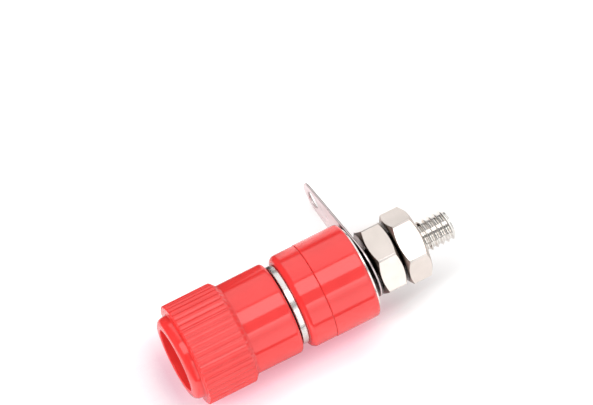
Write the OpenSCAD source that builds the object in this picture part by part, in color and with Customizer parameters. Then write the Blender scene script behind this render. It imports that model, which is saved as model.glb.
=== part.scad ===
// Panel-mounted 4 mm banana socket with a ribbed cap that screws down to clamp a wire.
// Millimetres. Each piece is turned about a local z axis that points out of the mouth,
// with z = 0 on the seam between the two insulators, where the panel is gripped.
// lay() turns that axis along -Y, so the mouth faces -Y and the stud points along +Y.

/* [Cap] */
// Length of the cap from its nose to its rear face
cap_len = 14; // [13:0.05:16]
// Gap between the cap's rear face and the flange of the post
cap_gap = 0.2; // [0.15:0.05:0.9]
// Diameter over the ribs
rib_d = 12.7; // [12.3:0.1:14]
// Number of ribs round the cap
rib_count = 42; // [30:1:48]
// Length of the ribbed band at full height
rib_len = 6.05; // [4.5:0.05:7]
// Length of the slope behind the ribs
rib_slope = 0.7; // [0.3:0.05:1]
// Roundness of a rib, as its radius over half the rib spacing
rib_fullness = 1.1; // [1.05:0.05:1.4]
// Diameter of the nose ring
nose_d = 10.5; // [10.4:0.1:11.2]
// Length of the nose ring in front of the ribs
nose_len = 1.35; // [1.2:0.05:2]
// Rounding of the nose's outer edge
nose_round = 0.8; // [0.4:0.05:0.8]
// Diameter of the mouth
mouth_d = 7.8; // [7.4:0.1:8]
// Rounding of the mouth's edge
mouth_round = 0.15; // [0.15:0.05:0.35]
// Depth from the nose to the end of the post
mouth_depth = 2.7; // [1.5:0.1:4]
// Diameter of the barrel at its rear edge
barrel_d = 11.4; // [11:0.1:11.8]
// Draft of the barrel, as diameter lost towards the ribs
barrel_draft = 0.05; // [0:0.05:0.3]

/* [Cap bush] */
// Length of the threaded metal bush in the cap
bush_len = 6.9; // [5:0.1:8]
// Wall of the bush
bush_wall = 1; // [0.8:0.05:1.2]
// Height of the bush's head at the rear of the cap
bush_head_t = 0.9; // [0.6:0.1:1.5]
// Overhang of the bush's head
bush_head_rim = 0.6; // [0.4:0.05:0.7]
// Clearance on the radius in the bush's relief, which spans the wire hole
bush_relief = 0.3; // [0.2:0.05:0.5]

/* [Post] */
// Diameter of the flange
flange_d = 10; // [9.2:0.1:10.8]
// Thickness of the flange
flange_t = 0.85; // [0.6:0.05:1.6]
// Diameter over the front thread
tube_d = 6; // [5.6:0.1:6.4]
// Diameter of the bore that takes the plug
socket_d = 4; // [3.8:0.05:4.2]
// Height of the bottom of that bore above the flange
socket_floor = 0.65; // [0.4:0.05:1.6]
// Diameter of the cross hole for a bare wire
wire_d = 2; // [1.5:0.1:2.4]
// Height of the cross hole's edge above the flange
wire_rise = 0.45; // [0.4:0.05:1.2]
// Diameter over the thread of the stud
stud_d = 3.9; // [3.7:0.05:4.1]
// Length of stud left free behind the outer nut
stud_free = 4.2; // [2:0.05:8]

/* [Insulators] */
// Diameter of the front insulator
front_d = 11.7; // [11:0.1:13]
// Thickness of the front insulator
front_t = 3.2; // [2.4:0.1:4]
// Rounding of the front insulator's edge under the flange
front_round = 0.75; // [0.3:0.05:0.8]
// Diameter of the rear insulator
rear_d = 11.8; // [11:0.1:13]
// Length of the rear insulator
rear_t = 5.75; // [4.5:0.05:7]
// Diameter of the spigot that fills the panel hole
spigot_d = 7; // [6.4:0.1:8]
// Length of that spigot
spigot_len = 1.5; // [1:0.1:2.5]

/* [Solder tag] */
// Thickness of the tag
tag_t = 0.25; // [0.2:0.05:0.6]
// Gap between the rear insulator and the tag
tag_gap = 0.7; // [0.65:0.05:2]
// Gap between the tag and the inner nut, in which the tag can lean
tag_play = 0.45; // [0.4:0.05:1]
// Diameter of the tag's ring
ring_d = 8; // [7:0.1:9.5]
// Distance from the axis to the tip of the tag
tag_reach = 14.1; // [12.5:0.1:17]
// Radius of the tip of the tag
tip_r = 2.2; // [2:0.1:3]
// Diameter of the eye in the tip
eye_d = 2.3; // [1.6:0.1:3]
// Direction of the tag round the axis, from +X towards +Z
tag_angle = 199.5; // [0:0.5:360]
// Angle by which the loose tag leans towards the cap
tag_lean = 3.4; // [0:0.2:4]

/* [Nuts] */
// Width of a nut across its flats
nut_af = 7.9; // [7:0.1:9]
// Thickness of a nut
nut_t = 3.1; // [2.4:0.05:4]
// Gap between the two nuts
nut_gap = 0.25; // [0.25:0.05:2]
// Direction of a corner of the inner nut
inner_turn = 9; // [0:1:59]
// Direction of a corner of the outer nut
outer_turn = 47; // [0:1:59]

/* [Fits and edges] */
// Clearance on the radius between pieces that move on each other
run_gap = 0.05; // [0.03:0.01:0.08]
// Clearance on the radius between the stud and the insulators
loose_gap = 0.1; // [0.05:0.05:0.2]
// Rounding of the moulded rims
rim_round = 0.45; // [0.15:0.05:0.5]
// Edge break along the seam between the insulators
seam_break = 0.1; // [0.04:0.02:0.2]
// Edge break on turned metal
metal_break = 0.12; // [0.06:0.02:0.2]
// Lead-in chamfer at thread ends and countersinks
lead_in = 0.35; // [0.2:0.05:0.5]

/* [Hidden] */
$fn = 96;
red_plastic = [0.93, 0.24, 0.22];
nickel = [0.86, 0.84, 0.83];
drill_point = 59;
nut_sides = 6;
nut_chamfer_angle = 30;
nut_face_share = 0.95;
nut_corner_share = 0.985;
edge_steps = 8;
outline_steps = 40;
overshoot = 0.2;

flange_front = front_t + flange_t;
cap_back = flange_front + cap_gap;
cap_front = cap_back + cap_len;
rib_front = cap_front - nose_len;
rib_back = rib_front - rib_len - rib_slope;
barrel_front_r = (barrel_d - barrel_draft) / 2;
rib_half_pitch = 180 / rib_count;
rib_r = rib_fullness * rib_d / 2 * sin(rib_half_pitch);
rib_centre_r = rib_d / 2 - rib_r;
rib_core_r = rib_centre_r * cos(rib_half_pitch);

tube_front = cap_front - mouth_depth;
bush_bore_r = tube_d / 2 + run_gap;
bush_r = bush_bore_r + bush_wall;
bush_head_r = bush_r + bush_head_rim;
bush_front = cap_back + bush_len;
socket_bottom = flange_front + socket_floor;
wire_z = flange_front + wire_rise + wire_d / 2;
relief_r = tube_d / 2 + bush_relief;
relief_front = wire_z + wire_d / 2 + bush_relief;

tag_front = -rear_t - tag_gap;
inner_front = tag_front - tag_t - tag_play;
outer_front = inner_front - nut_t - nut_gap;
stud_tip = outer_front - nut_t - stud_free;
on_stud_r = stud_d / 2 + run_gap;
tip_x = tag_reach - tip_r;
nut_corner_r = nut_af / 2 / cos(180 / nut_sides);

// Points of an arc round a centre, from one angle to another.
function arc(centre, r, from, to, steps = edge_steps) = [
    for (i = [0:steps])
        let (a = from + (to - from) * i / steps)
        centre + r * [cos(a), sin(a)]
];

// Lays a piece down from its own axis to the object's: local z becomes -Y.
module lay() {
    rotate([90, 0, 0])
        children();
}

// A flat ring with rounded outer edges, from its radii, ends and edge roundings.
module moulded_ring(inner_r, outer_r, back, front, back_round, front_round) {
    rotate_extrude()
        polygon(concat(
            [[inner_r, back]],
            arc([outer_r - back_round, back + back_round], back_round, -90, 0),
            arc([outer_r - front_round, front - front_round], front_round, 0, 90),
            [[inner_r, front]]
        ));
}

// The wall of the cap without its ribs: barrel, core under the ribs, nose and inside steps.
module cap_wall() {
    seat_r = bush_r + run_gap;
    head_r = bush_head_r + run_gap;
    head_front = cap_back + bush_head_t + run_gap;
    mouth_r = mouth_d / 2;
    nose_r = nose_d / 2;
    barrel_r = barrel_d / 2;
    rotate_extrude()
        polygon(concat(
            [[head_r, cap_back]],
            arc([barrel_r - rim_round, cap_back + rim_round], rim_round, -90, 0),
            [[barrel_front_r, rib_back], [barrel_front_r, rib_front - overshoot]],
            [[nose_r, rib_front - overshoot]],
            arc([nose_r - nose_round, cap_front - nose_round], nose_round, 0, 90),
            arc([mouth_r + mouth_round, cap_front - mouth_round], mouth_round, 90, 180),
            [[mouth_r, bush_front + run_gap], [seat_r, bush_front + run_gap]],
            [[seat_r, head_front], [head_r, head_front]]
        ));
}

// Cross-section of the ribbed band: round-backed ribs on a core, open in the middle.
module ribbed_outline() {
    difference() {
        union() {
            circle(rib_core_r);
            for (i = [0:rib_count - 1])
                rotate(2 * rib_half_pitch * i)
                    translate([rib_centre_r, 0])
                        circle(rib_r);
        }
        circle(nose_d / 2 - overshoot);
    }
}

// The ribbed band, cut square at the front with a small break and sloped off behind.
module ribbed_band() {
    slope_rate = (rib_d / 2 - barrel_front_r) / rib_slope;
    over_r = rib_d / 2 + overshoot;
    slope_top = rib_back + rib_slope + overshoot / slope_rate;
    slope_start = rib_back - overshoot / slope_rate;
    intersection() {
        translate([0, 0, slope_start])
            linear_extrude(height = rib_front - slope_start)
                ribbed_outline();
        rotate_extrude()
            polygon([
                [0, slope_start],
                [barrel_front_r - overshoot, slope_start],
                [over_r, slope_top],
                [over_r, rib_front - metal_break - overshoot],
                [rib_d / 2 - metal_break, rib_front],
                [0, rib_front],
            ]);
    }
}

// Moulded cap with its ribs and its open nose.
module cap_shell() {
    color(red_plastic)
        lay() {
            cap_wall();
            ribbed_band();
        }
}

// Threaded metal bush in the cap, with a head that bears on the clamped wire.
module cap_bush() {
    color(nickel)
        lay()
            rotate_extrude()
                polygon([
                    [relief_r, cap_back],
                    [bush_head_r - metal_break, cap_back],
                    [bush_head_r, cap_back + metal_break],
                    [bush_head_r, cap_back + bush_head_t],
                    [bush_r, cap_back + bush_head_t],
                    [bush_r, bush_front - metal_break],
                    [bush_r - metal_break, bush_front],
                    [bush_bore_r + lead_in, bush_front],
                    [bush_bore_r, bush_front - lead_in],
                    [bush_bore_r, relief_front],
                    [relief_r, relief_front],
                ]);
}

// Turned post: stud, flange and front tube in one piece, with the plug bore and the wire hole.
module post() {
    stud_r = stud_d / 2;
    flange_r = flange_d / 2;
    tube_r = tube_d / 2;
    socket_r = socket_d / 2;
    color(nickel)
        lay()
            difference() {
                rotate_extrude()
                    polygon([
                        [0, stud_tip],
                        [stud_r - lead_in, stud_tip],
                        [stud_r, stud_tip + lead_in],
                        [stud_r, front_t],
                        [flange_r - metal_break, front_t],
                        [flange_r, front_t + metal_break],
                        [flange_r, flange_front - metal_break],
                        [flange_r - metal_break, flange_front],
                        [tube_r, flange_front],
                        [tube_r, tube_front - lead_in],
                        [tube_r - lead_in, tube_front],
                        [socket_r + lead_in, tube_front],
                        [socket_r, tube_front - lead_in],
                        [socket_r, socket_bottom],
                        [0, socket_bottom - socket_r / tan(drill_point)],
                    ]);
                translate([0, 0, wire_z])
                    rotate([0, 90, 0])
                        cylinder(d = wire_d, h = 2 * tube_d, center = true);
            }
}

// Front insulator: the disc under the flange, with the spigot that fills the panel hole.
module front_insulator() {
    bore_r = stud_d / 2 + loose_gap;
    color(red_plastic)
        lay() {
            moulded_ring(bore_r, front_d / 2, 0, front_t, seam_break, front_round);
            moulded_ring(bore_r, spigot_d / 2, -spigot_len, overshoot, seam_break, seam_break);
        }
}

// Rear insulator: the longer disc behind the panel, recessed for the spigot.
module rear_insulator() {
    bore_r = stud_d / 2 + loose_gap;
    recess_r = spigot_d / 2 + loose_gap;
    color(red_plastic)
        lay()
            difference() {
                moulded_ring(bore_r, rear_d / 2, -rear_t, 0, rim_round, seam_break);
                translate([0, 0, -spigot_len - loose_gap])
                    cylinder(r = recess_r, h = spigot_len + loose_gap + overshoot);
            }
}

// Stamped solder tag: a ring on the stud and a tapered tail with an eye near its tip.
module solder_tag() {
    taper = asin((ring_d / 2 - tip_r) / tip_x);
    color(nickel)
        lay()
            translate([0, 0, tag_front])
                rotate([0, -tag_lean, tag_angle])
                    translate([0, 0, -tag_t])
                        linear_extrude(height = tag_t)
                            difference() {
                                polygon(concat(
                                    arc([0, 0], ring_d / 2, 90 - taper, 270 + taper, outline_steps),
                                    arc([tip_x, 0], tip_r, taper - 90, 90 - taper, outline_steps)
                                ));
                                circle(on_stud_r);
                                translate([tip_x, 0])
                                    circle(d = eye_d);
                            }
}

// Hexagon nut with both faces chamfered, from its front face backwards.
module hex_nut(front, turn) {
    back = front - nut_t;
    face_r = nut_face_share * nut_af / 2;
    corner_r = nut_corner_share * nut_corner_r;
    chamfer = (corner_r - face_r) * tan(nut_chamfer_angle);
    intersection() {
        translate([0, 0, back])
            rotate(turn)
                cylinder(r = nut_corner_r, h = nut_t, $fn = nut_sides);
        rotate_extrude()
            polygon([
                [on_stud_r + lead_in, back],
                [face_r, back],
                [corner_r, back + chamfer],
                [corner_r, front - chamfer],
                [face_r, front],
                [on_stud_r + lead_in, front],
                [on_stud_r, front - lead_in],
                [on_stud_r, back + lead_in],
            ]);
    }
}

// Nut that clamps the panel between the insulators.
module inner_nut() {
    color(nickel)
        lay()
            hex_nut(inner_front, inner_turn);
}

// Nut that clamps a lug against the inner nut.
module outer_nut() {
    color(nickel)
        lay()
            hex_nut(outer_front, outer_turn);
}

cap_shell();
cap_bush();
post();
front_insulator();
rear_insulator();
solder_tag();
inner_nut();
outer_nut();
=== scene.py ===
import math

import bmesh
import bpy
from mathutils import Matrix, Vector


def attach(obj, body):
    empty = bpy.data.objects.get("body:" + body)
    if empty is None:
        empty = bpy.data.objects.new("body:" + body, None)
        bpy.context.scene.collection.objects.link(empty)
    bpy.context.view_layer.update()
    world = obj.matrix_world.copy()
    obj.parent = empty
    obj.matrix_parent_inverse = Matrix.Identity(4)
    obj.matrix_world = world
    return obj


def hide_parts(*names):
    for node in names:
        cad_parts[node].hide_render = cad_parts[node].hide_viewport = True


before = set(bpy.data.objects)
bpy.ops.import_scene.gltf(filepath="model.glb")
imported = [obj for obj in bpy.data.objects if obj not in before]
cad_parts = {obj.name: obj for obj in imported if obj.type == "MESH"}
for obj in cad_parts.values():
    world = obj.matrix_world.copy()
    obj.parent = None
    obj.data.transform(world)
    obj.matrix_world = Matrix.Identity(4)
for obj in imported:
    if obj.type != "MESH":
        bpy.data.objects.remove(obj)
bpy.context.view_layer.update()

# Sizes are millimetres along a local axis z that points out of the mouth (-Y in the frame),
# with z = 0 on the seam between the insulators. MM turns them into metres.
MM = 0.001

# Cap
CAP_BACK, CAP_FRONT = 4.25, 18.25
RIB_COUNT, RIB_R, RIB_CENTRE_R = 42, 0.522, 5.828
RIB_BACK, RIB_FULL, RIB_FRONT = 10.15, 10.85, 16.9
RIB_EDGE_ROUND, RIB_FOOT_ROUND = 0.16, 0.2
VALLEY_SHARE = 0.26
BARREL_R, BARREL_FRONT_R = 5.7, 5.675
DRAFT_ROW, DRAFT_GAIN = 1.2, 0.005
NOSE_R, NOSE_TAPER, NOSE_TAPER_ANGLE, MOUTH_R = 5.25, 0.06, 8, 3.9
BUSH_SEAT_R, BUSH_SEAT_FRONT = 4.1, 11.2
BUSH_HEAD_R, BUSH_HEAD_FRONT = 4.7, 5.2
RIM_ROUND, FRONT_ROUND, NOSE_ROUND, MOUTH_ROUND, SEAM_BREAK = 0.45, 0.75, 0.8, 0.15, 0.1

# A row of faces this far beyond a round keeps the shading of the straight wall true.
RIM_HOLD, SEAM_HOLD, RIB_HOLD = 0.06, 0.05, 0.08

# Post
STUD_R, STUD_ROOT_R, STUD_PITCH = 1.95, 1.64, 0.7
STUD_TIP, STUD_THREAD_END = -17.8, -1.0
TUBE_R, TUBE_ROOT_R, TUBE_PITCH = 3.0, 2.65, 0.75
TUBE_THREAD_START, TUBE_FRONT = 7.1, 15.55
FLANGE_R, FLANGE_BACK, FLANGE_FRONT, FLANGE_BREAK = 5.0, 3.2, 4.05, 0.12
FLANGE_ONLY_R = 4.0
SOCKET_R, SOCKET_BOTTOM, SOCKET_POINT = 2.0, 4.7, 3.498
WIRE_R, WIRE_Z, WIRE_DRILL_REACH = 1.0, 5.5, 8
LEAD_IN = 0.35

# Insulators and washer
FRONT_R, FRONT_T = 5.85, 3.2
REAR_R, REAR_T = 5.9, 5.75
SPIGOT_R, SPIGOT_LEN = 3.5, 1.5
STUD_HOLE_R, RECESS_R, RECESS_DEPTH = 2.05, 3.6, 1.6
WASHER_R, WASHER_T, WASHER_BREAK, WASHER_GAP = 5.15, 0.26, 0.06, 0.01

# Solder tag
TAG_FRONT, TAG_T, TAG_ANGLE, TAG_LEAN = -6.45, 0.25, 199.5, 3.4
RING_R, TIP_X, TIP_R, EYE_R, TAG_HOLE_R = 4.0, 11.9, 2.2, 1.15, 2.0
TAG_ROLL, TEAR_LEVEL = 0.05, -0.035

# Nuts
NUT_HALF_AF, NUT_T, NUT_FACE_R, NUT_CORNER_R = 3.95, 3.1, 3.7525, 4.4927
NUT_CHAMFER, NUT_WEAR = 30, 0.035
NUT_BORE_R, NUT_GROOVE_R = 2.0, 2.28
INNER_FRONT, INNER_TURN = -7.15, 9.0
OUTER_FRONT, OUTER_TURN = -10.5, 47.0
# Degrees across one side; the second and the last stand where the corner is turned off.
NUT_SIDE_COLUMNS = (0, 1.56, 5, 10, 16, 23, 30, 37, 44, 50, 55, 58.44)

# Fineness of the meshes
RIB_COLUMNS, RING_COLUMNS, THREAD_COLUMNS, HOLE_COLUMNS, EYE_COLUMNS = 14, 192, 96, 48, 64
TIP_STEPS, RING_STEPS = 48, 72
MERGE_DISTANCE, THIN_EDGE = 1e-7, 1e-8
SHARP, MOULDED_SHARP, NUT_SHARP = 35, 38, 30


# Turned forms

def place(r, angle, z):
    """A point of a turned piece, in metres in the frame."""
    return Vector((r * math.cos(angle) * MM, -z * MM, r * math.sin(angle) * MM))


def arc(centre_r, centre_z, radius, start, end, steps=5):
    """Points (r, z) of an arc in a turned piece's profile."""
    turn = [math.radians(start + (end - start) * i / steps) for i in range(steps + 1)]
    return [(centre_r + radius * math.cos(a), centre_z + radius * math.sin(a)) for a in turn]


def even_angles(count):
    """Angles of a full turn; the last repeats the first."""
    return [2 * math.pi * i / count for i in range(count + 1)]


def plain(points, angles):
    """Rows of a round surface: the same (r, z) at every angle."""
    return [[point] * len(angles) for point in points]


def skin(bm, rows, angles, closed=False):
    """Faces between rows of (r, z), one per angle; the last angle repeats the first."""
    verts = [[bm.verts.new(place(r, a, z)) for (r, z), a in zip(row, angles)] for row in rows]
    if closed:
        verts.append(verts[0])
    for low, high in zip(verts, verts[1:]):
        for i in range(len(angles) - 1):
            bm.faces.new((low[i], low[i + 1], high[i + 1], high[i]))


# One pitch of a rounded 60 degree thread: place along the pitch and depth as a share.
THREAD_FORM = (
    (-0.13, 0.22), (-0.07, 0.05), (0.0, 0.0), (0.07, 0.05), (0.13, 0.22),
    (0.34, 0.80), (0.42, 0.96), (0.50, 1.0), (0.58, 0.96), (0.66, 0.80),
)


def thread(pitch, surface_r, form_r, low, high, angles, low_in=None, high_in=None):
    """Rows of a right-hand thread from z = low to high. Its ends run into plain rings:
    low_in and high_in are the radii of a 45 degree lead-in there, or None for a run-out."""
    low_r = surface_r if low_in is None else low_in
    high_r = surface_r if high_in is None else high_in

    def point(z, depth):
        if z <= low:
            return low_r, low
        if z >= high:
            return high_r, high
        fade = 1.0
        if low_in is None:
            fade = min(fade, (z - low) / pitch)
        if high_in is None:
            fade = min(fade, (high - z) / pitch)
        r = surface_r + (form_r - surface_r) * depth * fade
        if low_in is not None:
            r = min(r, low_in + z - low)
        if high_in is not None:
            r = min(r, high_in + high - z)
        return r, z

    turns = range(math.floor(low / pitch) - 2, math.ceil(high / pitch) + 2)
    return [
        [point((turn + share + a / (2 * math.pi)) * pitch, depth) for a in angles]
        for turn in turns for share, depth in THREAD_FORM
    ]


def finish_mesh(name, bm, sharp=SHARP):
    """A smooth-shaded object from a mesh in the making, with sharp edges kept."""
    bmesh.ops.remove_doubles(bm, verts=bm.verts, dist=MERGE_DISTANCE)
    bmesh.ops.dissolve_degenerate(bm, edges=bm.edges, dist=THIN_EDGE)
    bmesh.ops.recalc_face_normals(bm, faces=bm.faces)
    mesh = bpy.data.meshes.new(name)
    bm.to_mesh(mesh)
    bm.free()
    mesh.shade_smooth()
    mesh.set_sharp_from_angle(angle=math.radians(sharp))
    piece = bpy.data.objects.new(name, mesh)
    bpy.context.scene.collection.objects.link(piece)
    return piece


def evaluated_mesh(thing):
    """A new mesh of an object as its modifiers or its curve settings make it."""
    bpy.context.view_layer.update()
    return bpy.data.meshes.new_from_object(
        thing.evaluated_get(bpy.context.evaluated_depsgraph_get())
    )


def dress(piece, node, body, slot, *materials):
    """The piece stands for a CAD node, rides on its body and takes its finish."""
    for material in materials:
        piece.data.materials.append(material)
    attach(piece, body)
    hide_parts(node)


# Shader nodes

# Most of a noise's values lie in this range.
NOISE_LOW, NOISE_HIGH = 0.3, 0.7
CREVICE_SAMPLES, FLOOR_SAMPLES = 8, 16


def start_material(name):
    material = bpy.data.materials.new(name)
    material.use_nodes = True
    tree = material.node_tree
    shader = tree.nodes["Principled BSDF"]
    coords = tree.nodes.new("ShaderNodeTexCoord")
    return material, tree, shader, coords.outputs["Object"]


def noise(tree, vector, scale, detail, stretch=(1, 1, 1)):
    """Noise over the object's own metres, finer along the axes with a larger stretch."""
    mapping = tree.nodes.new("ShaderNodeMapping")
    mapping.inputs["Scale"].default_value = stretch
    tree.links.new(vector, mapping.inputs["Vector"])
    node = tree.nodes.new("ShaderNodeTexNoise")
    node.inputs["Scale"].default_value = scale
    node.inputs["Detail"].default_value = detail
    tree.links.new(mapping.outputs["Vector"], node.inputs["Vector"])
    return node.outputs["Fac"]


def openness(tree, distance, samples):
    """1 in the open, and less where other faces stand within the distance."""
    node = tree.nodes.new("ShaderNodeAmbientOcclusion")
    node.samples = samples
    node.inputs["Distance"].default_value = distance
    return node.outputs["AO"]


def ramp(tree, factor, low, high, start=NOISE_LOW, end=NOISE_HIGH):
    """Colour that runs from low to high."""
    node = tree.nodes.new("ShaderNodeValToRGB")
    node.color_ramp.elements[0].position = start
    node.color_ramp.elements[0].color = (*low, 1)
    node.color_ramp.elements[1].position = end
    node.color_ramp.elements[1].color = (*high, 1)
    tree.links.new(factor, node.inputs["Fac"])
    return node.outputs["Color"]


def span(tree, value, start, end, low=0, high=1):
    """A value's run from start to end taken to low...high, which are numbers or sockets."""
    node = tree.nodes.new("ShaderNodeMapRange")
    node.inputs["From Min"].default_value = start
    node.inputs["From Max"].default_value = end
    for socket, source in ((node.inputs["To Min"], low), (node.inputs["To Max"], high)):
        if isinstance(source, bpy.types.NodeSocket):
            tree.links.new(source, socket)
        else:
            socket.default_value = source
    tree.links.new(value, node.inputs["Value"])
    return node.outputs["Result"]


def calculated(tree, operation, first, second):
    node = tree.nodes.new("ShaderNodeMath")
    node.operation = operation
    tree.links.new(first, node.inputs[0])
    tree.links.new(second, node.inputs[1])
    return node.outputs["Value"]


def product(tree, first, second):
    return calculated(tree, "MULTIPLY", first, second)


def larger(tree, first, second):
    return calculated(tree, "MAXIMUM", first, second)


def multiplied(tree, first, second):
    """One colour tinted by another."""
    node = tree.nodes.new("ShaderNodeMix")
    node.data_type = "RGBA"
    node.blend_type = "MULTIPLY"
    node.inputs["Factor"].default_value = 1.0
    tree.links.new(first, node.inputs[6])
    tree.links.new(second, node.inputs[7])
    return node.outputs[2]


def bump(tree, height, strength, distance, below=None):
    node = tree.nodes.new("ShaderNodeBump")
    node.inputs["Strength"].default_value = strength
    node.inputs["Distance"].default_value = distance
    tree.links.new(height, node.inputs["Height"])
    if below is not None:
        tree.links.new(below, node.inputs["Normal"])
    return node.outputs["Normal"]


# Materials: noise scales are waves a metre, bump distances and reaches are metres.

# Painted shade darkens the plastic's colour in its grooves and valleys.
GROOVE_REACH, GROOVE_SHADE, GROOVE_RANGE = 0.0006, (0.86, 0.7, 0.7), (0.7, 0.95)
PLASTIC_ROUGH, PLASTIC_IOR = (0.09, 0.13), 1.7
# Painted shade darkens the metal's colour in crevices, gaps and thread roots.
CREVICE_REACH, CREVICE_SHADE = 0.003, (0.075, 0.05, 0.035)
CLEAN = (1, 1, 1)

# Directions of the fine lines: around a turned piece, along the axis, along the sheet.
AROUND, ALONG, ROLLED = (0.2, 3, 0.2), (1, 0.2, 1), (0.2, 1, 1)


def moulded_plastic(name, low, high):
    """Glossy moulded plastic with painted shade, which darkens its colour in its grooves."""
    material, tree, shader, place_of = start_material(name)
    colour = ramp(tree, noise(tree, place_of, 260, 4), low, high)
    open_share = openness(tree, GROOVE_REACH, CREVICE_SAMPLES)
    # Painted shade in the grooves, where other faces stand close.
    groove = ramp(tree, open_share, GROOVE_SHADE, CLEAN, *GROOVE_RANGE)
    tree.links.new(multiplied(tree, colour, groove), shader.inputs["Base Color"])
    rough = span(tree, noise(tree, place_of, 700, 3), NOISE_LOW, NOISE_HIGH, *PLASTIC_ROUGH)
    tree.links.new(rough, shader.inputs["Roughness"])
    grain = bump(tree, noise(tree, place_of, 9000, 2), 0.05, 4e-6)
    flow = bump(tree, noise(tree, place_of, 420, 2, (1, 0.35, 1)), 0.08, 2e-5, grain)
    tree.links.new(flow, shader.inputs["Normal"])
    shader.inputs["IOR"].default_value = PLASTIC_IOR
    return material


def plated_metal(name, low, high, rough, lines, line_scale, crevices, wave=0.12):
    """Plating over machined or drawn metal: fine lines in one direction, shallow waves, and
    painted shade in the crevices, which fades over the given range of openness."""
    material, tree, shader, place_of = start_material(name)
    shader.inputs["Metallic"].default_value = 1.0
    colour = ramp(tree, noise(tree, place_of, 500, 4), low, high)
    open_share = openness(tree, CREVICE_REACH, CREVICE_SAMPLES)
    # Painted shade where other faces stand close.
    crevice_shade = ramp(tree, open_share, CREVICE_SHADE, CLEAN, *crevices)
    tree.links.new(multiplied(tree, colour, crevice_shade), shader.inputs["Base Color"])
    roughness = span(tree, noise(tree, place_of, 1300, 4), NOISE_LOW, NOISE_HIGH, *rough)
    tree.links.new(roughness, shader.inputs["Roughness"])
    marks = bump(tree, noise(tree, place_of, line_scale, 3, lines), 0.10, 3e-6)
    waves = bump(tree, noise(tree, place_of, 900, 2), wave, 6e-6, marks)
    tree.links.new(waves, shader.inputs["Normal"])
    return material


red = moulded_plastic("red_plastic", (0.84, 0.036, 0.034), (0.90, 0.044, 0.041))
turned = plated_metal(
    "turned_nickel", (0.82, 0.79, 0.755), (0.91, 0.88, 0.845),
    rough=(0.10, 0.17), lines=AROUND, line_scale=6000, crevices=(0.05, 0.38),
)
nut_finish = plated_metal(
    "nut_nickel", (0.835, 0.752, 0.695), (0.895, 0.807, 0.75),
    rough=(0.08, 0.13), lines=ALONG, line_scale=5000, crevices=(0.45, 0.8),
)
flange_finish = plated_metal(
    "flange_nickel", (0.86, 0.825, 0.79), (0.97, 0.935, 0.90),
    rough=(0.20, 0.30), lines=AROUND, line_scale=6000, crevices=(0.1, 0.5), wave=0.45,
)
# Rougher than the flats, and painted darker and browner as shade.
chamfer_finish_and_shade = plated_metal(
    "nut_chamfer", (0.46, 0.39, 0.345), (0.58, 0.50, 0.45),
    rough=(0.30, 0.42), lines=ALONG, line_scale=5000, crevices=(0.45, 0.8),
)
corner_finish = plated_metal(
    "nut_corner", (0.82, 0.76, 0.715), (0.90, 0.83, 0.785),
    rough=(0.36, 0.46), lines=ALONG, line_scale=5000, crevices=(0.45, 0.8),
)
tag_finish = plated_metal(
    "tag_tin", (0.81, 0.695, 0.70), (0.87, 0.765, 0.77),
    rough=(0.26, 0.36), lines=ROLLED, line_scale=4000, crevices=(0.12, 0.5),
)
# The torn zone is rough, and its dark colour is painted shade along the tag's edge.
tag_torn_edge_and_shade = plated_metal(
    "tag_edge", (0.20, 0.17, 0.16), (0.30, 0.26, 0.24),
    rough=(0.45, 0.60), lines=ALONG, line_scale=6000, crevices=(0.1, 0.5),
)


# Cap: smooth nose and barrel, round-backed ribs with softened ends.

# The ribs' slope behind: share of its length and of its fall.
RIB_RUN_OUT = ((0.08, 0.03), (0.16, 0.1), (0.5, 0.52), (0.86, 0.93), (1.0, 1.0))
RIB_EDGE_STEPS, RIB_ROWS = 5, 6


def rib_radius(angle):
    """Radius of the ribbed outline: round backs with a small fillet in each valley."""
    half = math.pi / RIB_COUNT
    off = abs((angle + half) % (2 * half) - half)
    tangent = (1 - VALLEY_SHARE) * half
    step = 0.01

    def back(turn):
        across = RIB_CENTRE_R * math.sin(turn)
        return RIB_CENTRE_R * math.cos(turn) + math.sqrt(RIB_R ** 2 - across ** 2)

    if off <= tangent:
        return back(off)
    fall = (back(tangent) - back(tangent - step * half)) / step
    rest = (half - off) / (half - tangent)
    return back(tangent) + fall * VALLEY_SHARE / 2 * (1 - rest * rest)


def nose_points():
    """Profile of the bores and the nose, from the bush's seat to the foot of the ribs."""
    points = [(BUSH_SEAT_R, BUSH_HEAD_FRONT), (BUSH_SEAT_R, BUSH_SEAT_FRONT)]
    points += [(MOUTH_R, BUSH_SEAT_FRONT)]
    points += arc(MOUTH_R + MOUTH_ROUND, CAP_FRONT - MOUTH_ROUND, MOUTH_ROUND, 180, 90, 8)
    lip_r = NOSE_R - NOSE_TAPER - NOSE_ROUND
    points += arc(lip_r, CAP_FRONT - NOSE_ROUND, NOSE_ROUND, 90, NOSE_TAPER_ANGLE, 10)
    foot = RIB_FRONT + RIB_FOOT_ROUND
    points += [(NOSE_R, foot + SEAM_HOLD)]
    points += arc(NOSE_R + RIB_FOOT_ROUND, foot, RIB_FOOT_ROUND, 180, 270)
    return points


def rib_rows(angles):
    """Rows of the ribs: rounded front edges, straight backs and the slope behind."""
    ribs = [rib_radius(a) for a in angles]
    front = RIB_FRONT - RIB_EDGE_ROUND
    rows = []
    for step in range(RIB_EDGE_STEPS + 1):
        a = math.radians(90 - 90 * step / RIB_EDGE_STEPS)
        inward = RIB_EDGE_ROUND * (math.cos(a) - 1)
        rows.append([(r + inward, front + RIB_EDGE_ROUND * math.sin(a)) for r in ribs])
    for step in range(1, RIB_ROWS + 1):
        rows.append([(r, front + (RIB_FULL - front) * step / RIB_ROWS) for r in ribs])
    for share, fall in RIB_RUN_OUT:
        z = RIB_FULL + (RIB_BACK - RIB_FULL) * share
        rows.append([(r + (BARREL_FRONT_R - r) * fall, z) for r in ribs])
    return rows


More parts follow.
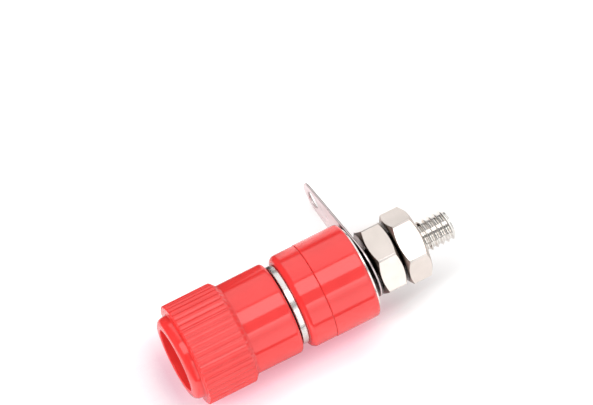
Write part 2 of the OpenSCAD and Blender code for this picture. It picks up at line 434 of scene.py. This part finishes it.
def barrel_points():
    """Profile of the drafted barrel, its rounded rim and the pocket for the bush's head."""
    points = [(BARREL_FRONT_R, RIB_BACK - RIB_HOLD)]
    points += [(BARREL_FRONT_R + DRAFT_GAIN, RIB_BACK - DRAFT_ROW)]
    points += [(BARREL_R, CAP_BACK + RIM_ROUND + RIM_HOLD)]
    points += arc(BARREL_R - RIM_ROUND, CAP_BACK + RIM_ROUND, RIM_ROUND, 0, -90, 8)
    points += [(BUSH_HEAD_R, CAP_BACK), (BUSH_HEAD_R, BUSH_HEAD_FRONT)]
    return points


def make_cap():
    bm = bmesh.new()
    angles = even_angles(RIB_COUNT * RIB_COLUMNS)
    rows = plain(nose_points(), angles) + rib_rows(angles) + plain(barrel_points(), angles)
    skin(bm, rows, angles, closed=True)
    return finish_mesh("cap_shell_moulding", bm, MOULDED_SHARP)


# Insulators, with a fine edge break along the seam, and the washer behind them.

def round_piece(name, points):
    """A ring turned from a closed profile."""
    bm = bmesh.new()
    angles = even_angles(RING_COLUMNS)
    skin(bm, plain(points, angles), angles, closed=True)
    return finish_mesh(name, bm, MOULDED_SHARP)


def make_front_insulator():
    points = [(STUD_HOLE_R, -SPIGOT_LEN)]
    points += arc(SPIGOT_R - SEAM_BREAK, -SPIGOT_LEN + SEAM_BREAK, SEAM_BREAK, -90, 0, 3)
    points += [(SPIGOT_R, 0.0)]
    points += arc(FRONT_R - SEAM_BREAK, SEAM_BREAK, SEAM_BREAK, -90, 0, 3)
    points += [(FRONT_R, SEAM_BREAK + SEAM_HOLD), (FRONT_R, FRONT_T - FRONT_ROUND - RIM_HOLD)]
    points += arc(FRONT_R - FRONT_ROUND, FRONT_T - FRONT_ROUND, FRONT_ROUND, 0, 90, 10)
    points += [(STUD_HOLE_R, FRONT_T)]
    return round_piece("front_insulator_moulding", points)


def make_rear_insulator():
    points = [(STUD_HOLE_R, -REAR_T)]
    points += arc(REAR_R - RIM_ROUND, -REAR_T + RIM_ROUND, RIM_ROUND, -90, 0, 8)
    points += [(REAR_R, -REAR_T + RIM_ROUND + RIM_HOLD), (REAR_R, -SEAM_BREAK - SEAM_HOLD)]
    points += arc(REAR_R - SEAM_BREAK, -SEAM_BREAK, SEAM_BREAK, 0, 90, 3)
    points += [(RECESS_R, 0.0), (RECESS_R, -RECESS_DEPTH), (STUD_HOLE_R, -RECESS_DEPTH)]
    return round_piece("rear_insulator_moulding", points)


def make_washer():
    """The thin plated washer that lies against the rear insulator, under the solder tag."""
    front = -REAR_T - WASHER_GAP
    back = front - WASHER_T
    points = [(STUD_HOLE_R, back)]
    points += arc(WASHER_R - WASHER_BREAK, back + WASHER_BREAK, WASHER_BREAK, -90, 0, 3)
    points += arc(WASHER_R - WASHER_BREAK, front - WASHER_BREAK, WASHER_BREAK, 0, 90, 3)
    points += [(STUD_HOLE_R, front)]
    return round_piece("rear_washer", points)


# Post: one turned piece with both threads cut, the plug bore and the wire hole.

def make_post():
    bm = bmesh.new()
    angles = even_angles(THREAD_COLUMNS)
    rows = plain([(0, STUD_TIP), (STUD_R - LEAD_IN, STUD_TIP)], angles)
    rows += thread(
        STUD_PITCH, STUD_R, STUD_ROOT_R, STUD_TIP, STUD_THREAD_END, angles,
        low_in=STUD_R - LEAD_IN,
    )
    rows += plain([(STUD_R, STUD_THREAD_END), (STUD_R, FLANGE_BACK)], angles)
    rim_r = FLANGE_R - FLANGE_BREAK
    rows += plain(arc(rim_r, FLANGE_BACK + FLANGE_BREAK, FLANGE_BREAK, -90, 0, 3), angles)
    rows += plain(arc(rim_r, FLANGE_FRONT - FLANGE_BREAK, FLANGE_BREAK, 0, 90, 3), angles)
    rows += plain([(TUBE_R, FLANGE_FRONT), (TUBE_R, TUBE_THREAD_START)], angles)
    rows += thread(
        TUBE_PITCH, TUBE_R, TUBE_ROOT_R, TUBE_THREAD_START, TUBE_FRONT, angles,
        high_in=TUBE_R - LEAD_IN,
    )
    rows += plain([(TUBE_R - LEAD_IN, TUBE_FRONT), (SOCKET_R + LEAD_IN, TUBE_FRONT)], angles)
    rows += plain([(SOCKET_R, TUBE_FRONT - LEAD_IN), (SOCKET_R, SOCKET_BOTTOM)], angles)
    rows += plain([(0, SOCKET_POINT)], angles)
    skin(bm, rows, angles)
    post = finish_mesh("post_turned", bm)
    drill(post)
    for face in post.data.polygons:
        if math.hypot(face.center.x, face.center.z) > FLANGE_ONLY_R * MM:
            face.material_index = 1
    return post


def drill(post):
    """Cuts the wire hole across the tube."""
    bm = bmesh.new()
    ends = []
    for x in (-WIRE_DRILL_REACH, WIRE_DRILL_REACH):
        ends.append([
            bm.verts.new((x * MM, -(WIRE_Z + WIRE_R * math.cos(a)) * MM, WIRE_R * math.sin(a) * MM))
            for a in even_angles(HOLE_COLUMNS)[:-1]
        ])
    for i in range(HOLE_COLUMNS):
        j = (i + 1) % HOLE_COLUMNS
        bm.faces.new((ends[0][i], ends[0][j], ends[1][j], ends[1][i]))
    bm.faces.new(ends[0])
    bm.faces.new(ends[1])
    tool = finish_mesh("wire_hole_tool", bm)
    cut = post.modifiers.new("wire_hole", "BOOLEAN")
    cut.operation = "DIFFERENCE"
    cut.solver = "EXACT"
    cut.object = tool
    made = evaluated_mesh(post)
    post.modifiers.remove(cut)
    old = post.data
    post.data = made
    bpy.data.meshes.remove(old)
    made.shade_smooth()
    made.set_sharp_from_angle(angle=math.radians(SHARP))
    bpy.data.objects.remove(tool)


# Nuts: chamfered hexagons with a thread cut outwards from the bore.

# Edges outside this radius that turn by more than this angle are worn round.
WEAR_R, WEAR_ANGLE = 3.9, 20
# Faces outside this radius are sorted by how far their normals lean along the axis.
SIDES_R, FLAT_MATCH, END_LEAN, CHAMFER_LEAN = 3.6, 0.9999, 0.95, 0.3


def nut_angles(turn):
    """Angles of a hexagon's columns: close at each corner, where its edge is rounded off."""
    steps = [60 * side + a for side in range(6) for a in NUT_SIDE_COLUMNS] + [360]
    return [math.radians(turn + a) for a in steps]


def make_nut(name, front, turn):
    bm = bmesh.new()
    angles = nut_angles(turn)
    back = front - NUT_T
    slope = math.tan(math.radians(NUT_CHAMFER))
    edge = []
    for a in angles:
        off = (math.degrees(a) - turn) % 60 - 30
        edge.append(min(NUT_HALF_AF / math.cos(math.radians(off)), NUT_CORNER_R))
    rows = plain([(NUT_BORE_R, back + LEAD_IN), (NUT_BORE_R + LEAD_IN, back)], angles)
    rows += plain([(NUT_FACE_R, back)], angles)
    rows.append([(r, back + max(r - NUT_FACE_R, 0) * slope) for r in edge])
    rows.append([(r, front - max(r - NUT_FACE_R, 0) * slope) for r in edge])
    rows += plain([(NUT_FACE_R, front), (NUT_BORE_R + LEAD_IN, front)], angles)
    rows += plain([(NUT_BORE_R, front - LEAD_IN)], angles)
    skin(bm, rows, angles)
    bmesh.ops.remove_doubles(bm, verts=bm.verts, dist=MERGE_DISTANCE)
    hard = [
        e for e in bm.edges
        if len(e.link_faces) == 2 and e.calc_face_angle() > math.radians(WEAR_ANGLE)
        and min(math.hypot(v.co.x, v.co.z) for v in e.verts) > WEAR_R * MM
    ]
    bmesh.ops.bevel(
        bm, geom=hard, offset=NUT_WEAR * MM, offset_type="OFFSET", segments=2, profile=0.5,
        affect="EDGES", clamp_overlap=True,
    )
    even = even_angles(THREAD_COLUMNS)
    grooved = thread(
        STUD_PITCH, NUT_BORE_R, NUT_GROOVE_R, back + LEAD_IN, front - LEAD_IN, even
    )
    skin(bm, grooved, even)
    nut = finish_mesh(name, bm, NUT_SHARP)
    sort_sides(nut.data, turn)
    return nut


def sort_sides(mesh, turn):
    """Splits the shading along the borders of the six sides, so that they mirror as true flats,
    and gives the chamfers and the worn corners their own finish, the chamfers' with painted shade."""
    sides = [math.radians(turn + 30 + 60 * k) for k in range(6)]
    normals = [Vector((math.cos(a), 0, math.sin(a))) for a in sides]
    flats = {}
    for face in mesh.polygons:
        on_side = any(face.normal.dot(n) > FLAT_MATCH for n in normals)
        outside = math.hypot(face.center.x, face.center.z) > SIDES_R * MM
        lean = abs(face.normal.y)
        if outside and not on_side and lean < END_LEAN:
            face.material_index = 1 if lean > CHAMFER_LEAN else 2
        for key in face.edge_keys:
            flats.setdefault(key, []).append(on_side)
    for edge in mesh.edges:
        found = flats.get(edge.key, [])
        if any(found) and not all(found):
            edge.use_edge_sharp = True


# Solder tag: stamped sheet, drawn as a flat outline with two holes and rolled edges. The
# rear part of each sheared edge is the rough zone where the metal tore; its dark colour is
# painted shade.

EDGE_LEAN = 0.95


def tag_loops():
    """The tag's outline, its hole and its eye, with the stud's axis at the origin."""
    taper = math.asin((RING_R - TIP_R) / TIP_X)
    outline = []
    for i in range(TIP_STEPS + 1):
        a = taper - math.pi / 2 + (math.pi - 2 * taper) * i / TIP_STEPS
        outline.append((TIP_X + TIP_R * math.cos(a), TIP_R * math.sin(a)))
    for i in range(RING_STEPS + 1):
        a = math.pi / 2 - taper + (math.pi + 2 * taper) * i / RING_STEPS
        outline.append((RING_R * math.cos(a), RING_R * math.sin(a)))
    ring = even_angles(EYE_COLUMNS)[:-1]
    hole = [(TAG_HOLE_R * math.cos(a), TAG_HOLE_R * math.sin(a)) for a in ring]
    eye = [(TIP_X + EYE_R * math.cos(a), EYE_R * math.sin(a)) for a in ring]
    return outline, hole, eye


def flat_tag():
    """The tag as a mesh that lies in its own plane, half its thickness to each side."""
    curve = bpy.data.curves.new("tag_outline", "CURVE")
    curve.dimensions = "2D"
    curve.fill_mode = "BOTH"
    curve.extrude = (TAG_T / 2 - TAG_ROLL) * MM
    curve.bevel_depth = TAG_ROLL * MM
    curve.bevel_resolution = 2
    curve.offset = -TAG_ROLL * MM
    for loop in tag_loops():
        spline = curve.splines.new("POLY")
        spline.points.add(len(loop) - 1)
        for point, (x, y) in zip(spline.points, loop):
            point.co = (x * MM, y * MM, 0, 1)
        spline.use_cyclic_u = True
    drawn = bpy.data.objects.new("tag_outline", curve)
    bpy.context.scene.collection.objects.link(drawn)
    flat = evaluated_mesh(drawn)
    bpy.data.objects.remove(drawn)
    bpy.data.curves.remove(curve)
    return flat


def make_tag():
    flat = flat_tag()
    bm = bmesh.new()
    bm.from_mesh(flat)
    bpy.data.meshes.remove(flat)
    tear = TEAR_LEVEL * MM
    bmesh.ops.bisect_plane(
        bm, geom=bm.verts[:] + bm.edges[:] + bm.faces[:], plane_co=(0, 0, tear), plane_no=(0, 0, 1)
    )
    bm.normal_update()
    # The sheared edge behind the tear takes the torn finish, whose dark colour is painted shade.
    for face in bm.faces:
        if face.calc_center_median().z < tear and abs(face.normal.z) < EDGE_LEAN:
            face.material_index = 1
    turn, lean = math.radians(TAG_ANGLE), math.radians(TAG_LEAN)
    for v in bm.verts:
        x, y, z = v.co
        z -= TAG_T / 2 * MM
        out = x * math.cos(lean) - z * math.sin(lean)
        up = x * math.sin(lean) + z * math.cos(lean) + TAG_FRONT * MM
        along = out * math.cos(turn) - y * math.sin(turn)
        across = out * math.sin(turn) + y * math.cos(turn)
        v.co = (along, -up, across)
    return finish_mesh("solder_tag_stamping", bm)


# Pieces in place of the CAD nodes

dress(make_cap(), "cap_shell", "cap_shell", "cap_plastic", red)
dress(make_front_insulator(), "front_insulator", "post", "insulator_plastic", red)
dress(make_rear_insulator(), "rear_insulator", "rear_insulator", "insulator_plastic", red)
dress(make_post(), "post", "post", "turned_metal", turned, flange_finish)
for nut_node, nut_front, nut_turn in (
    ("inner_nut", INNER_FRONT, INNER_TURN), ("outer_nut", OUTER_FRONT, OUTER_TURN),
):
    dress(
        make_nut(nut_node + "_chamfered", nut_front, nut_turn), nut_node, nut_node, "nut_metal",
        nut_finish, chamfer_finish_and_shade, corner_finish,
    )
dress(make_tag(), "solder_tag", "solder_tag", "tag_metal", tag_finish, tag_torn_edge_and_shade)
washer = make_washer()
washer.data.materials.append(flange_finish)
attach(washer, "rear_insulator")
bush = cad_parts["cap_bush"]
bush.data.materials.clear()
bush.data.materials.append(turned)


# Floor: white paper with painted shadow and painted pink bounce light near the plastic, painted
# light that whitens it for the camera, and painted dark and pale stretches that only glossy rays
# find. All sizes from here on are metres. A run is the stretch of X or Y over which an effect
# grows.

FLOOR_Z, FLOOR_HALF = -6.37 * MM, 3.0
PAPER_LOW, PAPER_HIGH, PAPER_ROUGH, PAPER_GLOSS = (0.80,) * 3, (0.82,) * 3, 0.9, 0.1

# Painted shadow, tinted pink by painted bounce light from the plastic, under the object's right
# side and ahead of its nose.
UNDER_REACH, UNDER_RUN_X, UNDER_OPEN = 0.006, (0.001, 0.004), (0.95, 0.45)
AHEAD_REACH, AHEAD_OPEN = 0.010, (0.98, 0.60)
AHEAD_RUN_X, AHEAD_RUN_Y = (-0.009, -0.003), (-0.014, -0.019)
SHADE_RUN_Y, PINK_FROM, PINK_TO = (-0.020, 0.010), 0.13, 0.8
NOSE_SHADE, PINK_SHADE, METAL_SHADE = (0.69, 0.52, 0.615), (0.84, 0.53, 0.62), (0.74, 0.69, 0.69)

# Painted light: lift of the paper towards white for the camera, growing away from the object on
# the right and on the left, which thins its shadow there.
LIFT_RIGHT_RUN, LIFT_RIGHT = (0.0036, 0.0062), (0.28, 0.60)
LIFT_LEFT_RUN, LIFT_LEFT = (-0.005, -0.008), (0.28, 0.42)

# Painted shade: dark stretches that only the gloss mirrors, beside the object and far off.
DARK = (0.05, 0.05, 0.05, 1)
DARK_SIDE_X, DARK_SIDE_Y = (-0.009, -0.013), (0.002, -0.002)
DARK_FAR_LEFT, DARK_FAR_RIGHT = (-0.025, -0.08), (0.075, 0.085)

# Painted light: pale stretches that only the gloss mirrors, beside the nuts and ahead of the nose.
RIGHT_GLOW_X, RIGHT_GLOW_Y, RIGHT_GLOW = (-0.002, 0.002), (-0.002, 0.004), (0.0, 0.20)
LEFT_GLOW_FAR, LEFT_GLOW = (-0.020, -0.015), (0, 0.35)
LEFT_GLOW_NEAR, LEFT_GLOW_Y = (0.002, -0.002), (0, 0.003)
FRONT_GLOW_Y, FRONT_GLOW = (-0.020, -0.024), (0, 0.4)


def floor_shade(tree, x, y):
    """Colour that paints shadow and pink bounce light on the paper: white in the open, pink or grey
    near the object.
    """
    under_open = openness(tree, UNDER_REACH, FLOOR_SAMPLES)
    ahead_open = openness(tree, AHEAD_REACH, FLOOR_SAMPLES)
    under = product(tree, span(tree, x, *UNDER_RUN_X), span(tree, under_open, *UNDER_OPEN))
    before = product(tree, span(tree, x, *AHEAD_RUN_X), span(tree, y, *AHEAD_RUN_Y))
    ahead = product(tree, before, span(tree, ahead_open, *AHEAD_OPEN))
    hues = tree.nodes.new("ShaderNodeValToRGB")
    tree.links.new(span(tree, y, *SHADE_RUN_Y), hues.inputs["Fac"])
    hues.color_ramp.elements[0].color = (*NOSE_SHADE, 1)
    hues.color_ramp.elements[1].color = (*METAL_SHADE, 1)
    for at in (PINK_FROM, PINK_TO):
        hues.color_ramp.elements.new(at).color = (*PINK_SHADE, 1)
    tint = tree.nodes.new("ShaderNodeMix")
    tint.data_type = "RGBA"
    tint.inputs[6].default_value = (1, 1, 1, 1)
    tree.links.new(larger(tree, under, ahead), tint.inputs["Factor"])
    tree.links.new(hues.outputs["Color"], tint.inputs[7])
    return tint.outputs[2]


def floor_dark(tree, x, y):
    """Share of the floor that glossy rays find dark, as painted shade."""
    side = product(tree, span(tree, x, *DARK_SIDE_X), span(tree, y, *DARK_SIDE_Y))
    far = larger(tree, span(tree, x, *DARK_FAR_LEFT), span(tree, x, *DARK_FAR_RIGHT))
    return larger(tree, side, far)


def floor_glow(tree, x, y):
    """Strength of the painted light that glossy rays find on the floor."""
    right = product(
        tree, span(tree, x, *RIGHT_GLOW_X), span(tree, y, *RIGHT_GLOW_Y, *RIGHT_GLOW)
    )
    beside = product(tree, span(tree, x, *LEFT_GLOW_NEAR), span(tree, y, *LEFT_GLOW_Y))
    left = product(tree, span(tree, x, *LEFT_GLOW_FAR, *LEFT_GLOW), beside)
    front = span(tree, y, *FRONT_GLOW_Y, *FRONT_GLOW)
    return larger(tree, front, larger(tree, left, right))


def floor_paper():
    material, tree, shader, place_of = start_material("floor_paper")
    split = tree.nodes.new("ShaderNodeSeparateXYZ")
    tree.links.new(place_of, split.inputs["Vector"])
    x, y = split.outputs["X"], split.outputs["Y"]
    paths = tree.nodes.new("ShaderNodeLightPath")
    # Painted shadow and bounce light in the paper's colour.
    shade = floor_shade(tree, x, y)
    paper = ramp(tree, noise(tree, place_of, 12, 2), PAPER_LOW, PAPER_HIGH)
    tree.links.new(multiplied(tree, paper, shade), shader.inputs["Base Color"])
    shader.inputs["Roughness"].default_value = PAPER_ROUGH
    shader.inputs["Specular IOR Level"].default_value = PAPER_GLOSS

    # Painted shade: a dark paper for glossy rays where floor_dark says.
    black = tree.nodes.new("ShaderNodeBsdfDiffuse")
    black.inputs["Color"].default_value = DARK
    hidden = floor_dark(tree, x, y)
    dimmed = tree.nodes.new("ShaderNodeMixShader")
    tree.links.new(product(tree, hidden, paths.outputs["Is Glossy Ray"]), dimmed.inputs["Fac"])
    tree.links.new(shader.outputs["BSDF"], dimmed.inputs[1])
    tree.links.new(black.outputs["BSDF"], dimmed.inputs[2])

    # Painted light: emission that lifts the paper for the camera and glows for glossy rays.
    lift = tree.nodes.new("ShaderNodeEmission")
    tree.links.new(shade, lift.inputs["Color"])
    raised = larger(
        tree,
        span(tree, x, *LIFT_RIGHT_RUN, *LIFT_RIGHT), span(tree, x, *LIFT_LEFT_RUN, *LIFT_LEFT),
    )
    seen = product(tree, raised, paths.outputs["Is Camera Ray"])
    shown = product(tree, span(tree, hidden, 0, 1, 1, 0), floor_glow(tree, x, y))
    mirrored = product(tree, shown, paths.outputs["Is Glossy Ray"])
    tree.links.new(larger(tree, seen, mirrored), lift.inputs["Strength"])

    both = tree.nodes.new("ShaderNodeAddShader")
    tree.links.new(dimmed.outputs["Shader"], both.inputs[0])
    tree.links.new(lift.outputs["Emission"], both.inputs[1])
    tree.links.new(both.outputs["Shader"], tree.nodes["Material Output"].inputs["Surface"])
    return material


def make_floor():
    bm = bmesh.new()
    corners = [(-1, -1), (1, -1), (1, 1), (-1, 1)]
    bm.faces.new([bm.verts.new((x * FLOOR_HALF, y * FLOOR_HALF, FLOOR_Z)) for x, y in corners])
    mesh = bpy.data.meshes.new("floor")
    bm.to_mesh(mesh)
    bm.free()
    floor = bpy.data.objects.new("floor", mesh)
    bpy.context.scene.collection.objects.link(floor)
    mesh.materials.append(floor_paper())


# Lamps: area lights of a given radiance, some kept to reflections and some to shading.

LAMP_DISTANCE = 0.6
PANEL_FRONT, PANEL_REAR, FILL_FRONT, FILL_REAR = -0.08, 0.6, -0.8, 0.55
END_WIDTH, END_X = 1.0, 0.1

# Mirrored strips around the object: degrees from and to, radiance, and front end along Y.
PANELS = (
    (1, 22, 0.95, PANEL_FRONT), (22, 29, 0.85, PANEL_FRONT), (29, 40, 0.68, PANEL_FRONT),
    (40, 47, 1.05, PANEL_FRONT), (47, 53.5, 1.6, PANEL_FRONT), (78, 108.5, 1.85, -0.3),
    (113.5, 175, 0.6, PANEL_FRONT),
)
# Soft light for the shading alone: degrees from and to, and radiance.
FILLS = (
    ("side_fill", 1, 53.5, 1.5), ("overhead_fill", 78, 108.5, 2.05),
    ("back_fill", 113.5, 165, 1.85),
)


def area_light(name, width, height, radiance, mirrored, lit):
    data = bpy.data.lights.new(name, "AREA")
    data.shape = "RECTANGLE"
    data.size = width
    data.size_y = height
    data.energy = radiance * math.pi * width * height
    lamp = bpy.data.objects.new(name, data)
    bpy.context.scene.collection.objects.link(lamp)
    lamp.visible_glossy = mirrored
    lamp.visible_diffuse = lit
    return lamp


def softbox(name, low, high, radiance, front, rear, mirrored=True, lit=True):
    """An area light that fills the angles low to high, in degrees from +X towards +Z, and
    reaches from front to rear along Y."""
    middle = math.radians((low + high) / 2)
    width = 2 * LAMP_DISTANCE * math.tan(math.radians((high - low) / 2))
    lamp = area_light(name, rear - front, width, radiance, mirrored, lit)
    away = Vector((math.cos(middle), 0, math.sin(middle)))
    across = Vector((0, 1, 0))
    lamp.location = away * LAMP_DISTANCE + across * ((front + rear) / 2)
    up = away.cross(across)
    lamp.rotation_mode = "QUATERNION"
    lamp.rotation_quaternion = Matrix((across, up, away)).transposed().to_quaternion()


def end_panel(name, y, turn, radiance, low, high, mirrored=False, lit=True):
    """An upright area light beyond one end of the object, from z = low to high."""
    lamp = area_light(name, END_WIDTH, high - low, radiance, mirrored, lit)
    lamp.location = (END_X, y, (low + high) / 2)
    lamp.rotation_euler = (math.radians(turn), 0, 0)


make_floor()
for low, high, radiance, front in PANELS:
    softbox("panel_%d" % low, low, high, radiance, front, PANEL_REAR, lit=False)
for name, low, high, radiance in FILLS:
    softbox(name, low, high, radiance, FILL_FRONT, FILL_REAR, mirrored=False)
end_panel("front_fill", -LAMP_DISTANCE, 90, 2.1, 0.0, 0.4)
end_panel("rear_fill", LAMP_DISTANCE, -90, 1.4, 0.0, 0.4)
end_panel("front_card", -LAMP_DISTANCE, 90, 2.3, -0.006, 0.40, mirrored=True, lit=False)


# World: white for the camera, faint for the shading. Reflections find it dark towards the
# front, grey from the sides on and pale towards the rear.

WORLD_SEEN, WORLD_SHADING = 1.0, 0.06
WORLD_FRONT_RUN, WORLD_FRONT = (-0.25, -0.1), (0.04, 0.39)
WORLD_REAR_RUN, WORLD_REAR = (0.45, 0.75), (0, 0.74)


def make_world():
    world = bpy.data.worlds.new("studio")
    bpy.context.scene.world = world
    world.use_nodes = True
    tree = world.node_tree
    sky = tree.nodes["Background"]
    sky.inputs["Color"].default_value = (1, 1, 1, 1)
    paths = tree.nodes.new("ShaderNodeLightPath")
    heading = tree.nodes.new("ShaderNodeTexCoord")
    part = tree.nodes.new("ShaderNodeSeparateXYZ")
    tree.links.new(heading.outputs["Generated"], part.inputs["Vector"])
    y = part.outputs["Y"]
    mirrored = larger(
        tree,
        span(tree, y, *WORLD_FRONT_RUN, *WORLD_FRONT), span(tree, y, *WORLD_REAR_RUN, *WORLD_REAR),
    )
    light = span(tree, paths.outputs["Is Glossy Ray"], 0, 1, WORLD_SHADING, mirrored)
    strength = span(tree, paths.outputs["Is Camera Ray"], 0, 1, light, WORLD_SEEN)
    tree.links.new(strength, sky.inputs["Strength"])


bpy.context.scene.view_settings.view_transform = "Standard"
make_world()

# Camera at the photograph's angle, with the seam's middle at its place in the picture.

AZIMUTH, ELEVATION, DISTANCE = 62.148, 70.661, 0.81
PHOTO_WIDTH, PHOTO_HEIGHT, PIXELS_PER_MM = 593, 405, 8.6
SEAM_X, SEAM_Y = 314.25, 291.06
SENSOR_WIDTH, CLIP_START, CLIP_END = 36, 0.01, 20


def make_camera():
    a, e = math.radians(AZIMUTH), math.radians(ELEVATION)
    back = Vector((math.sin(a) * math.cos(e), -math.cos(a) * math.cos(e), math.sin(e)))
    right = Vector((math.cos(a), math.sin(a), 0))
    up = back.cross(right)
    seam_right, seam_down = SEAM_X - PHOTO_WIDTH / 2, SEAM_Y - PHOTO_HEIGHT / 2
    aim = (right * -seam_right + up * seam_down) * (MM / PIXELS_PER_MM)
    data = bpy.data.cameras.new("camera")
    data.sensor_width = SENSOR_WIDTH
    data.lens = SENSOR_WIDTH * PIXELS_PER_MM * DISTANCE / MM / PHOTO_WIDTH
    data.clip_start = CLIP_START
    data.clip_end = CLIP_END
    camera = bpy.data.objects.new("camera", data)
    bpy.context.scene.collection.objects.link(camera)
    camera.location = aim + back * DISTANCE
    camera.rotation_mode = "QUATERNION"
    camera.rotation_quaternion = (-back).to_track_quat("-Z", "Y")
    bpy.context.scene.camera = camera


make_camera()
